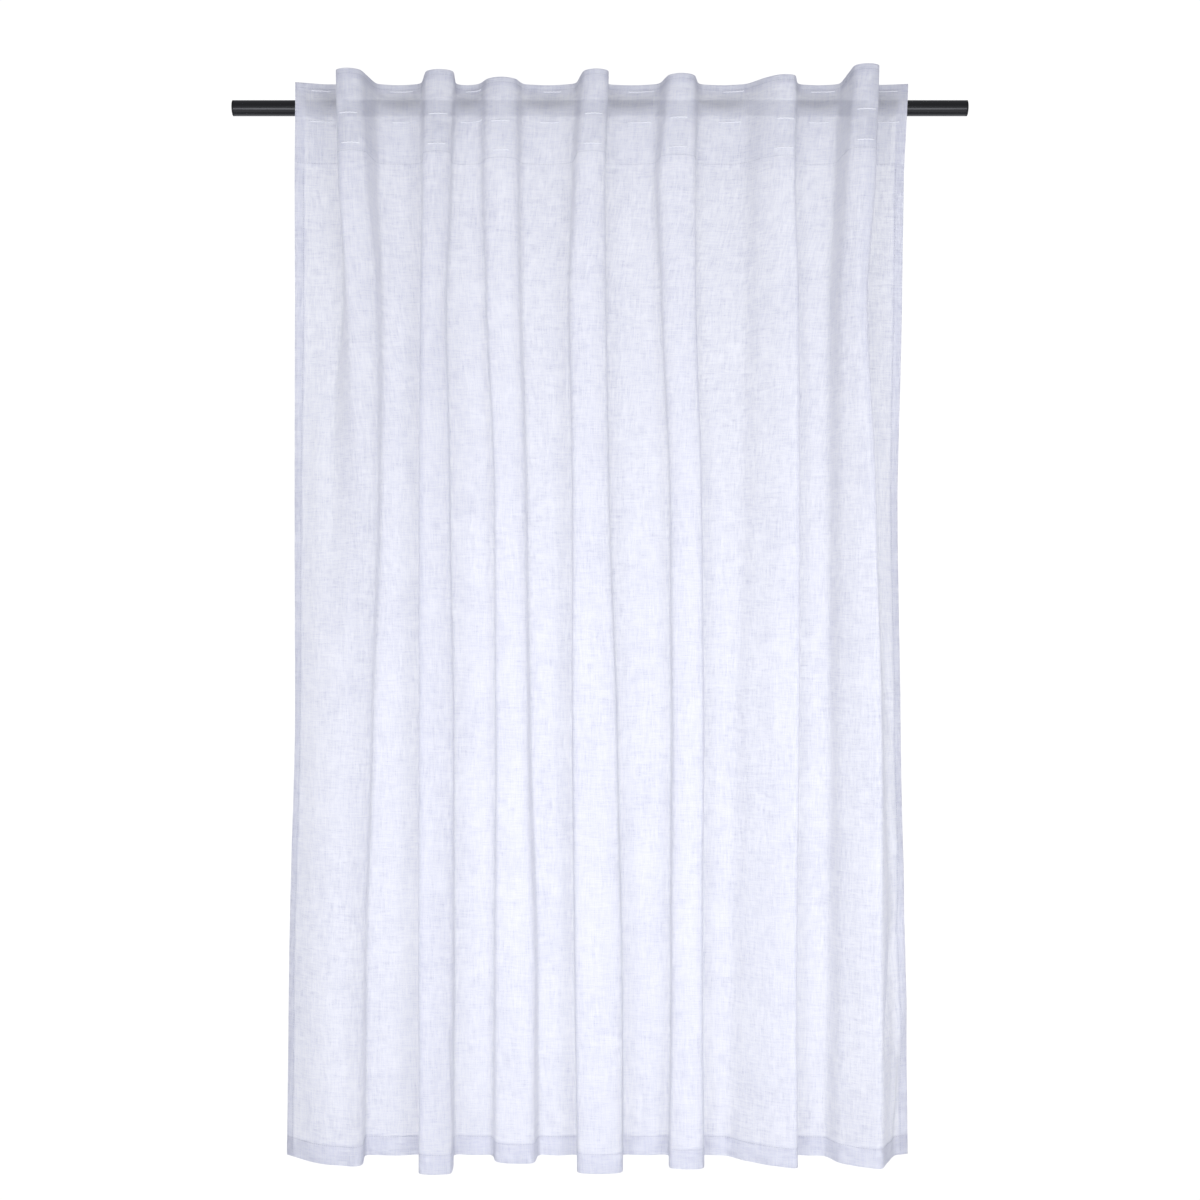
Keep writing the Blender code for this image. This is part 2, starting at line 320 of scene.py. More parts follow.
@functools.lru_cache(maxsize=1)
def drape(width, length):
    """The panel's face as a grid. At each height the plan is solved for a depth of fold that makes its
    run equal to the cloth's width, before the unevenness is added. Returns the distances along the width
    and down from the top, the plan positions and the plan normals, which face the room."""
    # Rows lie closer together down to just below the tape.
    down = np.concatenate([np.linspace(0, 0.112, 41), np.linspace(0.112, length, 140)[1:]])
    z = TOP - down
    swell = np.ones_like(z)
    for _ in range(5):
        lines = [rounded(corners, FOLD_SOFTNESS, PLAN_STEPS) for corners in plan_corners(z, swell)]
        found = np.array([reach_along(line)[-1] for line in lines])
        swell = swell + (width - found) / (2 * sum(PLEAT_DEPTH) * MM)
    along = np.linspace(0, 1, PLAN_STEPS)
    plan = np.empty((len(z), PLAN_STEPS, 2))
    for row, line in enumerate(lines):
        reach = reach_along(line)
        for axis in (0, 1):
            plan[row, :, axis] = np.interp(along, reach / reach[-1], line[:, axis])
    # The folds' run is smoothed down the cloth, because a thread can't jump sideways.
    kernel = np.array([1, 2, 3, 2, 1]) / 9
    padded = np.pad(plan, ((2, 2), (0, 0), (0, 0)), mode="edge")
    plan = sum(weight * padded[i:i + len(z)] for i, weight in enumerate(kernel))
    tangent = np.gradient(plan, along * width, axis=1)
    tangent /= np.linalg.norm(tangent, axis=2, keepdims=True)
    normal = np.stack([tangent[:, :, 1], -tangent[:, :, 0]], axis=2)
    u = np.broadcast_to(along * width, z.shape + (PLAN_STEPS,))
    v = np.broadcast_to(down[:, None], u.shape)
    plan = plan + normal * unevenness(u, v, length)[:, :, None]
    # Columns crowd where the plan bends.
    heading = np.unwrap(np.arctan2(tangent[:, :, 1], tangent[:, :, 0]), axis=1)
    bend = np.abs(np.gradient(heading, axis=1)).mean(axis=0)
    density = 1 + CROWDING * bend / bend.max()
    share = np.concatenate([[0], np.cumsum((density[1:] + density[:-1]) / 2)])
    chosen = np.interp(np.linspace(0, share[-1], COLUMNS), share, along)
    columns = chosen * (PLAN_STEPS - 1)
    low = np.clip(np.floor(columns).astype(int), 0, PLAN_STEPS - 2)
    part = (columns - low)[None, :, None]
    plan = plan[:, low] * (1 - part) + plan[:, low + 1] * part
    normal = normal[:, low] * (1 - part) + normal[:, low + 1] * part
    normal /= np.linalg.norm(normal, axis=2, keepdims=True)
    return chosen * width, down, plan, normal


def unevenness(u, v, length):
    """How far the cloth's face stands ahead of its smooth plan: slow waves that grow below the heading,
    small dents between the slubs, a few creases near the lower right, and the pull of the seams."""
    free = ramp(v, 0.07, 0.45)
    wave = 1.3 * MM * free * wander(u, v, 0.055, 0.42, 3)
    wave = wave + 0.55 * MM * free * wander(u, v, 0.021, 0.16, 5)
    dents = (0.10 + 0.10 * free) * MM * wander(u, v, 0.009, 0.016, 7)
    edge = u.max()
    creases = (  # both ends, width, and height in mm
        ((edge - 0.008, -1.02), (edge - 0.060, -1.22), 0.011, -8.0),
        ((edge - 0.002, -1.12), (edge - 0.040, -1.33), 0.009, 5.0),
        ((edge - 0.028, -0.70), (edge - 0.014, -0.84), 0.006, -2.5),
        ((edge - 0.030, -0.86), (edge - 0.006, -0.98), 0.007, 2.0),
        ((0.345, -1.15), (0.365, -1.27), 0.006, -3.0),
    )
    folds = sum(crease(u, TOP - v, start, end, wide, high * MM) for start, end, wide, high in creases)
    seams = ((TAPE_SEAM, 1.6, 0.35), (TOP_SEAM, 1.2, 0.25), (length - HEM_SEAM, 1.8, 0.35))
    pull = sum(depth * MM * bell(v - row, wide * MM) for row, wide, depth in seams)
    puff = 0.5 * MM * bell(v - TAPE_SEAM - 9 * MM, 6 * MM) * (0.5 + 0.5 * wander(u, v, 0.03, 1, 9))
    return wave + dents + folds - pull + puff


def place(surface, s, v, behind):
    """Points on the draped cloth. s is the distance along its width and v down from its top edge, each read
    between the grid's lines, and behind is measured against the plan's normal, away from the room."""
    along, down, plan, normal = surface
    s, v, behind = np.broadcast_arrays(*(np.asarray(x, float) for x in (s, v, behind)))
    i = np.clip(np.searchsorted(along, s, side="right") - 1, 0, len(along) - 2)
    j = np.clip(np.searchsorted(down, v, side="right") - 1, 0, len(down) - 2)
    p = ((s - along[i]) / (along[i + 1] - along[i]))[..., None]
    q = np.clip((v - down[j]) / (down[j + 1] - down[j]), 0, 1)[..., None]

    def read(field):
        high = field[j, i] * (1 - p) + field[j, i + 1] * p
        low = field[j + 1, i] * (1 - p) + field[j + 1, i + 1] * p
        return high * (1 - q) + low * q

    flat, facing = read(plan), read(normal)
    facing = facing / np.linalg.norm(facing, axis=-1, keepdims=True)
    xy = flat - facing * behind[..., None]
    return np.concatenate([xy, (TOP - v)[..., None]], axis=-1)


def grid_faces(rows, columns, wrap_rows=False):
    """Quads of a grid, wound to face the room when its rows run down and its columns run right."""
    r = np.arange(rows if wrap_rows else rows - 1)[:, None]
    c = np.arange(columns - 1)[None, :]
    below = (r + 1) % rows
    quads = [r * columns + c, below * columns + c, below * columns + c + 1, r * columns + c + 1]
    return np.stack(np.broadcast_arrays(*quads), axis=-1).reshape(-1, 4)


def make_mesh(name, points, faces, uv=None):
    """A mesh from an array of points and an array of faces that all have as many corners."""
    mesh = bpy.data.meshes.new(name)
    points = np.asarray(points, np.float32).reshape(-1, 3)
    faces = np.asarray(faces, np.int32)
    sides = faces.shape[1]
    mesh.vertices.add(len(points))
    mesh.vertices.foreach_set("co", points.ravel())
    mesh.loops.add(faces.size)
    mesh.loops.foreach_set("vertex_index", faces.ravel())
    mesh.polygons.add(len(faces))
    mesh.polygons.foreach_set("loop_start", np.arange(0, faces.size, sides, dtype=np.int32))
    mesh.polygons.foreach_set("use_smooth", np.full(len(faces), True))
    mesh.update(calc_edges=True)
    if uv is not None:
        layer = mesh.uv_layers.new(name="cloth")
        layer.uv.foreach_set("vector", np.asarray(uv, np.float32).reshape(-1, 2)[faces.ravel()].ravel())
    mesh.validate()
    return mesh


def add_piece(name, mesh, material, body, replaced=(), gathers=True):
    """Adds a finished piece, which rides on a body. A piece that gathers gets its own copy of its mesh."""
    piece = bpy.data.objects.new(name, mesh)
    bpy.context.scene.collection.objects.link(piece)
    mesh.materials.append(material)
    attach(piece, body)
    if replaced:
        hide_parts(*replaced)
    if gathers:
        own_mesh(piece)
    return piece


def closed(mesh, distance):
    """Merges points that lie this near, fills open ends and turns the faces outwards."""
    form = bmesh.new()
    form.from_mesh(mesh)
    bmesh.ops.remove_doubles(form, verts=form.verts, dist=distance)
    bmesh.ops.dissolve_degenerate(form, edges=form.edges, dist=distance)
    rim = [edge for edge in form.edges if edge.is_boundary]
    bmesh.ops.holes_fill(form, edges=rim, sides=0)
    bmesh.ops.recalc_face_normals(form, faces=form.faces)
    form.to_mesh(mesh)
    form.free()
    return mesh


# Materials


def linear(code):
    """Linear red, green, blue and alpha of an sRGB hex colour."""
    parts = [int(code[i:i + 2], 16) / 255 for i in (1, 3, 5)]
    return (*[p / 12.92 if p <= 0.04045 else ((p + 0.055) / 1.055) ** 2.4 for p in parts], 1.0)


def node(tree, kind, inputs=None, **settings):
    """Adds a node. inputs sets its sockets: a value stays on the socket, and a socket is linked."""
    made = tree.nodes.new(kind)
    for key, value in settings.items():
        setattr(made, key, value)
    for key, value in (inputs or {}).items():
        if isinstance(value, bpy.types.NodeSocket):
            tree.links.new(value, made.inputs[key])
        else:
            made.inputs[key].default_value = value
    return made


def new_material(name):
    """An empty material with its output node."""
    material = bpy.data.materials.new(name)
    material.use_nodes = True
    material.node_tree.nodes.clear()
    return material, material.node_tree, node(material.node_tree, "ShaderNodeOutputMaterial")


def thread_field(tree, vector, across, length, seed, detail=2.0):
    """Noise drawn out along the threads: across is a slub's width and length its length, in metres."""
    mapping = node(tree, "ShaderNodeMapping", {
        "Vector": vector,
        "Location": (seed * 3.7, seed * 1.9, seed * 0.7),
        "Scale": (1 / across, 1 / length, 1.0),
    })
    return node(tree, "ShaderNodeTexNoise", {
        "Vector": mapping.outputs[0], "Scale": 1.0, "Detail": detail, "Roughness": 0.6,
    }).outputs["Fac"]


def layered(tree, patterns):
    """Patterns laid over each other: the sum of each one times its weight."""
    total = 0.0
    for pattern, weight in patterns:
        inputs = {0: pattern, 1: weight, 2: total}
        total = node(tree, "ShaderNodeMath", inputs, operation="MULTIPLY_ADD").outputs[0]
    return total


def sheer_surface(tree, output, colour, bump, gloss, glow, gaps):
    """Thin cloth: its face scatters light, some glows through it, and some passes between its threads."""
    face = node(tree, "ShaderNodeBsdfPrincipled", {"Base Color": colour, "Normal": bump, **gloss})
    through = node(tree, "ShaderNodeBsdfTranslucent", {"Color": colour, "Normal": bump})
    cloth = node(tree, "ShaderNodeMixShader", {0: glow, 1: face.outputs[0], 2: through.outputs[0]})
    clear = node(tree, "ShaderNodeBsdfTransparent", {"Color": (1, 1, 1, 1)})
    mixed = node(tree, "ShaderNodeMixShader", {0: gaps, 1: cloth.outputs[0], 2: clear.outputs[0]})
    tree.links.new(mixed.outputs[0], output.inputs["Surface"])


def woven_linen(settings):
    """Washed plain-weave linen, semi-sheer. Uneven spinning gives it slubs along both thread directions,
    so light passes unevenly through it. Threads of about 0.7 mm are too fine to show, so the streaks are
    drawn 1.2 mm wide."""
    material, tree, output = new_material("washed_linen")
    uv = node(tree, "ShaderNodeUVMap", uv_map="cloth").outputs[0]
    warp = thread_field(tree, uv, 1.2 * MM, 17 * MM, 1)
    weft = thread_field(tree, uv, 14 * MM, 1.2 * MM, 2)
    grain = thread_field(tree, uv, 1.1 * MM, 1.1 * MM, 3, 3.0)
    cloud = thread_field(tree, uv, 60 * MM, 90 * MM, 4)
    weave = layered(tree, ((warp, 0.36), (weft, 0.36), (grain, 0.28), (cloud, 0.08)))
    tone = node(tree, "ShaderNodeMapRange", {
        "Value": weave, "From Min": 0.37, "From Max": 0.63, "To Min": 0.0, "To Max": 1.0,
    }).outputs[0]
    colour = node(tree, "ShaderNodeMix", {
        "Factor": tone, "A": linear(settings.linen_shade), "B": linear(settings.linen),
    }, data_type="RGBA").outputs["Result"]
    bump = node(tree, "ShaderNodeBump", {"Height": weave, "Strength": 0.6, "Distance": 0.5 * MM}).outputs[0]
    gaps = node(tree, "ShaderNodeMapRange", {
        "Value": weave, "From Min": 0.45, "From Max": 0.62, "To Min": 0.02, "To Max": 0.16,
    }).outputs[0]
    gloss = {"Roughness": 0.88, "Specular IOR Level": 0.25}
    sheer_surface(tree, output, colour, bump, gloss, 0.5, gaps)
    return material


def woven_tape(settings):
    """Woven polyester heading tape: fine cords run along it, and it lets most light through. Its bands lie
    about 1 / pi of a unit apart at a scale of 1, so the scale below sets the cords 1.1 mm apart."""
    material, tree, output = new_material("polyester_tape")
    uv = node(tree, "ShaderNodeUVMap", uv_map="cloth").outputs[0]
    cords = node(tree, "ShaderNodeTexWave", {
        "Vector": uv, "Scale": 1 / (math.pi * 1.1 * MM), "Distortion": 0.6, "Detail": 1.0,
    }, wave_type="BANDS", bands_direction="Y").outputs["Fac"]
    yarn = thread_field(tree, uv, 0.9 * MM, 0.9 * MM, 6, 3.0)
    height = layered(tree, ((cords, 0.6), (yarn, 0.4)))
    colour = node(tree, "ShaderNodeMix", {
        "Factor": height, "A": linear(settings.tape_shade), "B": linear(settings.tape),
    }, data_type="RGBA").outputs["Result"]
    bump = node(tree, "ShaderNodeBump", {"Height": height, "Strength": 0.5, "Distance": 0.25 * MM}).outputs[0]
    sheer_surface(tree, output, colour, bump, {"Roughness": 0.7}, 0.42, 0.9)
    return material


def spun_thread(name, dark, light):
    """Polyester sewing thread, with the slight shine of twisted filament."""
    material, tree, output = new_material(name)
    where = node(tree, "ShaderNodeTexCoord").outputs["Object"]
    twist = thread_field(tree, where, 0.5 * MM, 0.5 * MM, 8)
    colour = node(tree, "ShaderNodeMix", {
        "Factor": twist, "A": linear(dark), "B": linear(light),
    }, data_type="RGBA").outputs["Result"]
    shader = node(tree, "ShaderNodeBsdfPrincipled", {"Base Color": colour, "Roughness": 0.45})
    tree.links.new(shader.outputs[0], output.inputs["Surface"])
    return material


def seam_thread_painted_shade(settings):
    """The fine thread of the long seams, coloured grey as painted shade for the shadow in the seam's groove
    and its needle holes, so that it reads as a faint grey line.
    """
    return spun_thread("seam_thread_painted_shade", settings.seam_painted_shade_dark, settings.seam_painted_shade_light)


def tack_thread(settings):
    """The thicker white thread of the bar tacks."""
    return spun_thread("tack_thread", settings.thread, settings.thread)


def powder_coat(settings):
    """Satin black polyester powder coat on steel tube: smooth, with a faint orange peel of about 1.5 mm."""
    material, tree, output = new_material("satin_black_powder_coat")
    where = node(tree, "ShaderNodeTexCoord").outputs["Object"]
    peel, haze = [
        node(tree, "ShaderNodeTexNoise", {"Vector": where, "Scale": 1 / size, "Detail": detail}).outputs[0]
        for size, detail in ((1.5 * MM, 1.0), (40 * MM, 2.0))
    ]
    rough = node(tree, "ShaderNodeMapRange", {"Value": haze, "To Min": 0.09, "To Max": 0.13}).outputs[0]
    bump = node(tree, "ShaderNodeBump", {"Height": peel, "Strength": 0.08, "Distance": 0.1 * MM}).outputs[0]
    shader = node(tree, "ShaderNodeBsdfPrincipled", {
        "Base Color": linear(settings.powder_coat), "Roughness": rough, "Specular IOR Level": 0.5,
        "Normal": bump,
    })
    tree.links.new(shader.outputs[0], output.inputs["Surface"])
    return material


def moulded_plastic(settings):
    """Black polyethylene end plug, moulded with a fine spark-eroded grain."""
    material, tree, output = new_material("moulded_black_polyethylene")
    where = node(tree, "ShaderNodeTexCoord").outputs["Object"]
    grain = node(tree, "ShaderNodeTexNoise", {
        "Vector": where, "Scale": 1 / (0.4 * MM), "Detail": 2.0,
    }).outputs["Fac"]
    bump = node(tree, "ShaderNodeBump", {"Height": grain, "Strength": 0.2, "Distance": 0.08 * MM}).outputs[0]
    rough = node(tree, "ShaderNodeMapRange", {"Value": grain, "To Min": 0.45, "To Max": 0.6}).outputs[0]
    shader = node(tree, "ShaderNodeBsdfPrincipled", {
        "Base Color": linear(settings.plastic), "Roughness": rough, "Normal": bump,
    })
    tree.links.new(shader.outputs[0], output.inputs["Surface"])
    return material


def matt_floor(settings):
    """Matt painted studio floor."""
    material, tree, output = new_material("matt_floor_paint")
    shader = node(tree, "ShaderNodeBsdfPrincipled", {
        "Base Color": linear(settings.floor), "Roughness": 0.95,
    })
    tree.links.new(shader.outputs[0], output.inputs["Surface"])
    return material


@functools.lru_cache(maxsize=None)
def finish_of(maker):
    """Each finish is made once and shared by the pieces that have it."""
    return maker(bpy.context.scene.curtain)


# Shapes


def turned_edge():
    """Distances in from a fold, and behind the face, round half a turn of the cloth."""
    angle = np.linspace(0, math.pi, 5)
    return TURN * (1 - np.sin(angle)), TURN * (1 - np.cos(angle))


def folded_run(start, width, inner):
    """Positions across a sheet that is turned in behind itself at both ends. start is where each turned-in
    layer stops, measured from its fold. Returns the positions, the distance behind the face, and the
    distance along the cloth, counted on through the turns."""
    near, round_behind = turned_edge()
    low = np.linspace(start[0], TURN, 5)[:-1]
    high = np.linspace(start[1], TURN, 5)[:-1]
    inner = inner[(inner > 1.5 * TURN) & (inner < width - 1.5 * TURN)]
    half = len(near) // 2
    position = np.concatenate([low, near[::-1], inner, width - near, width - high[::-1]])
    behind = np.concatenate([
        np.full(len(low), LAYER), round_behind[::-1], np.zeros(len(inner)),
        round_behind, np.full(len(high), LAYER),
    ])
    return position, behind, np.concatenate([
        -low, -near[::-1][:half], near[::-1][half:], inner,
        width - near[:half + 1], width + near[half + 1:], width + high[::-1],
    ])


def panel_mesh(sizes, surface):
    """The whole sheet: the draped face, with its four edges turned in behind it."""
    along, down, _, _ = surface
    s, behind_s, u = folded_run((sizes.side_hem, sizes.side_hem), sizes.flat_width, along)
    v, behind_v, w = folded_run((sizes.turn_over, sizes.bottom_hem), sizes.flat_length, down)
    points = place(surface, s[None, :], v[:, None], behind_v[:, None] + behind_s[None, :])
    uv = np.stack(np.broadcast_arrays(u[None, :], -w[:, None]), axis=-1)
    return make_mesh("curtain_cloth", points, grid_faces(len(v), len(s)), uv)


def band_mesh(name, surface, s, ring_v, ring_behind):
    """A flat closed band on the back of the cloth: a ring in height and depth, carried along the width."""
    points = place(surface, s[None, :], ring_v[:, None], ring_behind[:, None])
    reach = reach_along(np.stack([ring_v, ring_behind], axis=1))
    uv = np.stack(np.broadcast_arrays(s[None, :], -reach[:, None]), axis=-1)
    return closed(make_mesh(name, points, grid_faces(len(ring_v), len(s), wrap_rows=True), uv), 1e-9)


def merged(meshes):
    """Several meshes as one: the others are added to the first."""
    form = bmesh.new()
    for mesh in meshes:
        form.from_mesh(mesh)
    form.to_mesh(meshes[0])
    form.free()
    return meshes[0]


def flat_ring(v_start, v_end, front, back):
    """A thin rounded rectangle in height and depth, as a closed ring of points."""
    v = np.linspace(v_start, v_end, BAND_STEPS)
    inset = 0.2 * MM
    middle = (front + back) / 2
    ring_v = np.concatenate([
        [v_start + inset], v[1:-1], [v_end - inset, v_end, v_end - inset],
        v[1:-1][::-1], [v_start + inset, v_start],
    ])
    ahead, behind = np.full(BAND_STEPS - 1, front), np.full(BAND_STEPS - 1, back)
    ring_b = np.concatenate([ahead, [front, middle, back], behind[1:], [back, middle]])
    return ring_v, ring_b


def stitches(surface, s, v, run, length, radius, lift):
    """Thread segments on the face: capsules with six sides. run is (1, 0) along the width or (0, 1) down,
    s and v are their middles, and lift is how far their axes stand ahead of the cloth."""
    stations = np.array([-1.0, -0.8, 0.0, 0.8, 1.0])
    bulge = np.array([0.15, 0.85, 1.0, 0.85, 0.15]) * radius
    rise = np.array([-0.8, -0.1, 0.35, -0.1, -0.8]) * radius
    angle = np.arange(THREAD_SIDES) * 2 * math.pi / THREAD_SIDES
    a = stations[None, :, None] * length / 2
    side = bulge[None, :, None] * np.cos(angle)[None, None, :]
    up = bulge[None, :, None] * np.sin(angle)[None, None, :] + rise[None, :, None] + lift
    s = s[:, None, None] + a * run[0] + side * run[1]
    v = v[:, None, None] + a * run[1] + side * run[0]
    s, v, up = np.broadcast_arrays(s, v, up)
    points = place(surface, s, v, -up)
    return points.reshape(-1, 3), capsule_faces(len(points), len(stations))


def capsule_faces(count, stations):
    """Quads of many threads: each is a grid of stations by sides, closed round, with two quads at each
    end."""
    r = np.arange(stations - 1)[:, None] * THREAD_SIDES
    c = np.arange(THREAD_SIDES)[None, :]
    after = (c + 1) % THREAD_SIDES
    quads = [r + c, r + after, r + THREAD_SIDES + after, r + THREAD_SIDES + c]
    tube = np.stack(np.broadcast_arrays(*quads), axis=-1).reshape(-1, 4)
    first = np.array([[0, 3, 2, 1], [0, 5, 4, 3]])
    last = (stations - 1) * THREAD_SIDES + first[:, ::-1]
    one = np.concatenate([tube, first, last])
    return (one[None] + (np.arange(count) * stations * THREAD_SIDES)[:, None, None]).reshape(-1, 4)


def tack(surface, middle, height, length):
    """One bar tack: a row of close stitches across the cloth, which reads as a bright dash."""
    pitch = 1.5 * MM
    s = middle + np.arange(-length / 2, length / 2, pitch)
    v = height + 0.25 * MM * np.sin(np.arange(len(s)) * 2.1)
    return stitches(surface, s, v, (1, 0), pitch * 1.15, 0.65 * MM, 0.45 * MM)


def thread_mesh(name, rows):
    """Rows of stitches, each a set of points and faces, as one mesh."""
    starts = np.cumsum([0] + [len(points) for points, _ in rows[:-1]])
    faces = np.concatenate([part + start for (_, part), start in zip(rows, starts)])
    return closed(make_mesh(name, np.concatenate([points for points, _ in rows]), faces), 1e-9)


def plan_row(surface, v):
    """The distances along the cloth and the plan at a distance v down."""
    along, down, plan, _ = surface
    return along, plan[np.searchsorted(down, v)]


def s_at(surface, x, v):
    """Distance along the cloth, at a distance v down, at which its plan is nearest to x."""
    along, row = plan_row(surface, v)
    return along[np.argmin(np.abs(row[:, 0] - x))]


def crest_s(surface, number, v):
    """Distance along the cloth of the middle of a pleat's front, at a distance v down. The front is the
    cloth within 5 mm of the pleat's foremost point."""
    along, row = plan_row(surface, v)
    low, high = PLEATS[number - 1]
    ahead = row[:, 1] < row[:, 1].min() * 0.3 - SPACE_FACE * 0.7
    near = (row[:, 0] > low[0] - 4 * MM) & (row[:, 0] < high[0] + 4 * MM) & ahead
    chosen = along[near & (row[:, 1] < row[near, 1].min() + 5 * MM)]
    return (chosen.min() + chosen.max()) / 2


def loop_path(low, high):
    """Section of a loop round the rod, as heights and depths: down the tape, a tangent to the rod's back,
    round it, and in to the tape again. It is a half circle joined to two straight runs."""
    flange = -ROD_RADIUS + LOOP_WALL / 2
    radius = ROD_RADIUS + 0.3 * MM + LOOP_WALL / 2
    upper, lower = high - LOOP_SEWN, low + LOOP_SEWN

    def touch(y, z):
        lean = math.acos(radius / math.hypot(y, z))
        return math.atan2(z, y) + (-lean if z > 0 else lean)

    angles = np.linspace(touch(flange, upper), touch(flange, lower), 28)
    y = np.concatenate([[flange] * 4, radius * np.cos(angles), [flange] * 4])
    z = np.concatenate([
        np.linspace(high, upper, 4), radius * np.sin(angles), np.linspace(lower, low, 4),
    ])
    reach = reach_along(np.stack([y, z], axis=1))
    even = np.linspace(0, reach[-1], 56)
    return np.interp(even, reach, y), np.interp(even, reach, z)


def ribbon_mesh(name, x, y, z):
    """A woven band: a path in depth and height, thickened to both sides, and carried along the rod. Its two
    selvedges are rounded by letting the thickness go to nothing at the edge."""
    tangent = np.stack([np.gradient(y), np.gradient(z)], axis=1)
    tangent /= np.linalg.norm(tangent, axis=1, keepdims=True)
    side = np.stack([-tangent[:, 1], tangent[:, 0]], axis=1)
    ring = np.concatenate([side, -side[::-1]])
    path = np.stack([np.concatenate([y, y[::-1]]), np.concatenate([z, z[::-1]])], axis=1)
    edge = np.array([0.0, 0.12, 0.4])
    flat = np.linspace(x[0] + 1 * MM, x[1] - 1 * MM, 10)
    across = np.concatenate([x[0] + edge * MM, flat, x[1] - edge[::-1] * MM])
    full = np.concatenate([[0.02, 0.7, 0.95], np.ones(10), [0.95, 0.7, 0.02]])
    yz = path[:, None, :] + ring[:, None, :] * full[None, :, None] * LOOP_WALL / 2
    points = np.concatenate([np.broadcast_to(across[None, :, None], yz.shape[:2] + (1,)), yz], axis=2)
    uv = np.stack(np.broadcast_arrays(across[None, :], reach_along(path)[:, None]), axis=-1)
    return closed(make_mesh(name, points, grid_faces(len(path), len(across), wrap_rows=True), uv), 1e-7)


def turned_mesh(name, x, radius, sides, closed_ring):
    """A shape turned about the rod's axis: a profile of places along the axis and radii."""
    angle = np.arange(sides + 1) * 2 * math.pi / sides
    points = np.stack(np.broadcast_arrays(
        x[:, None], radius[:, None] * np.cos(angle)[None, :], radius[:, None] * np.sin(angle)[None, :]
    ), axis=-1)
    return closed(make_mesh(name, points, grid_faces(len(x), sides + 1, wrap_rows=closed_ring)), 1e-6)


def rod_profile(length, bore):
    """Half section of a cut tube: its wall, with the sharp edges of both cuts taken off."""
    half, lip = length / 2, 0.25 * MM
    body = np.linspace(-half + lip, half - lip, 60)
    x = np.concatenate([body, [half, half], [half - lip, -half + lip], [-half, -half]])
    cut = [ROD_RADIUS - lip, bore + lip]
    radius = np.concatenate([np.full(len(body), ROD_RADIUS), cut, [bore, bore], cut[::-1]])
    return x, radius


def plug_profile(box, outward, bore):
    """Half section of an end plug: a flat head with a soft rim, and a hollow spigot with three ribs."""
    length = box[1][0] - box[0][0]
    spigot = bore - 0.7 * MM
    rib = 0.4 * MM
    rim = np.linspace(0, math.pi / 2, 5)
    soft = 0.4 * MM
    x = [0.0, 0.0, *(-soft * (1 - np.cos(rim))), -PLUG_HEAD, -PLUG_HEAD]
    radius = [0.0, ROD_RADIUS * 0.7, *(ROD_RADIUS - soft + soft * np.sin(rim)), ROD_RADIUS, spigot]
    for number in range(1, 4):
        middle = -PLUG_HEAD - number * (length - PLUG_HEAD) / 4
        x += [middle + 1 * MM, middle, middle - 1 * MM]
        radius += [spigot, spigot + rib, spigot]
    x += [-length, -length, -PLUG_HEAD, -PLUG_HEAD]
    radius += [spigot, spigot - 2 * MM, spigot - 2 * MM, 0.0]
    tip = box[1][0] if outward > 0 else box[0][0]
    return tip + outward * np.array(x), np.array(radius)


# Add-on


class CurtainSettings(PropertyGroup):
    """Sizes and colours of the curtain."""

    flat_width: FloatProperty(
        name="Flat Width", description="Finished width of the panel before it is gathered",
        default=1.40, min=0.5, unit="LENGTH")
    flat_length: FloatProperty(
        name="Length", description="Finished length of the panel",
        default=TOP - BOTTOM, min=0.5, unit="LENGTH")
    turn_over: FloatProperty(
        name="Top Turning", description="How far the cloth is turned over behind its top edge",
        default=12 * MM, unit="LENGTH")
    side_hem: FloatProperty(
        name="Side Hem", description="Width of each side hem", default=13 * MM, unit="LENGTH")
    bottom_hem: FloatProperty(
        name="Bottom Hem", description="Depth of the bottom hem", default=26 * MM, unit="LENGTH")
    tape_turn: FloatProperty(
        name="Tape Turning", description="How far each end of the tape is folded under",
        default=24 * MM, unit="LENGTH")
    stitch_pitch: FloatProperty(
        name="Stitch Length", description="From one stitch to the next", default=3 * MM, unit="LENGTH")
    thread_radius: FloatProperty(
        name="Thread Radius", description="Radius of the sewing thread", default=0.2 * MM, unit="LENGTH")
    linen: StringProperty(name="Linen", description="Linen's light colour, as sRGB hex", default="#FDFDFF")
    linen_shade: StringProperty(
        name="Linen Shade", description="Linen's darker colour, as sRGB hex", default="#D3D4DF")
    tape: StringProperty(name="Tape", description="Tape's light colour, as sRGB hex", default="#F4F5FA")
    tape_shade: StringProperty(
        name="Tape Shade", description="Tape's colour between its cords, as sRGB hex", default="#DDE0EA")
    thread: StringProperty(name="Thread", description="Bar tacks' colour, as sRGB hex", default="#FDFDFF")
    # The seam thread's two greys below are painted shade: they stand for the shadow in the seam's groove and
    # needle holes.
    seam_painted_shade_light: StringProperty(
        name="Seam Painted Shade Light", description="Seam thread's lighter colour, as sRGB hex", default="#D4D6DE")
    seam_painted_shade_dark: StringProperty(
        name="Seam Painted Shade Dark", description="Seam thread's darker colour, as sRGB hex", default="#A9ABB4")
    powder_coat: StringProperty(
        name="Powder Coat", description="Rod's colour, as sRGB hex", default="#0C0C0E")
    plastic: StringProperty(name="Plug", description="End plugs' colour, as sRGB hex", default="#18181A")
    floor: StringProperty(name="Floor", description="Studio floor's colour, as sRGB hex", default="#E3E4E8")


def panel_surface():
    """The draped surface at the sizes that are set."""
    settings = bpy.context.scene.curtain
    return drape(round(settings.flat_width, 6), round(settings.flat_length, 6))


class CURTAIN_OT_panel(Operator):
    """Makes the draped linen panel with its turned edges"""

    bl_idname = "curtain.panel"
    bl_label = "Linen Panel"

    def execute(self, context):
        settings = context.scene.curtain
        mesh = panel_mesh(settings, panel_surface())
        nodes = numbered("space", 8) + numbered("pleat", 7) + ["side_hem_left", "side_hem_right"]
        add_piece("curtain_cloth", mesh, finish_of(woven_linen), "left_edge", nodes)
        return {"FINISHED"}


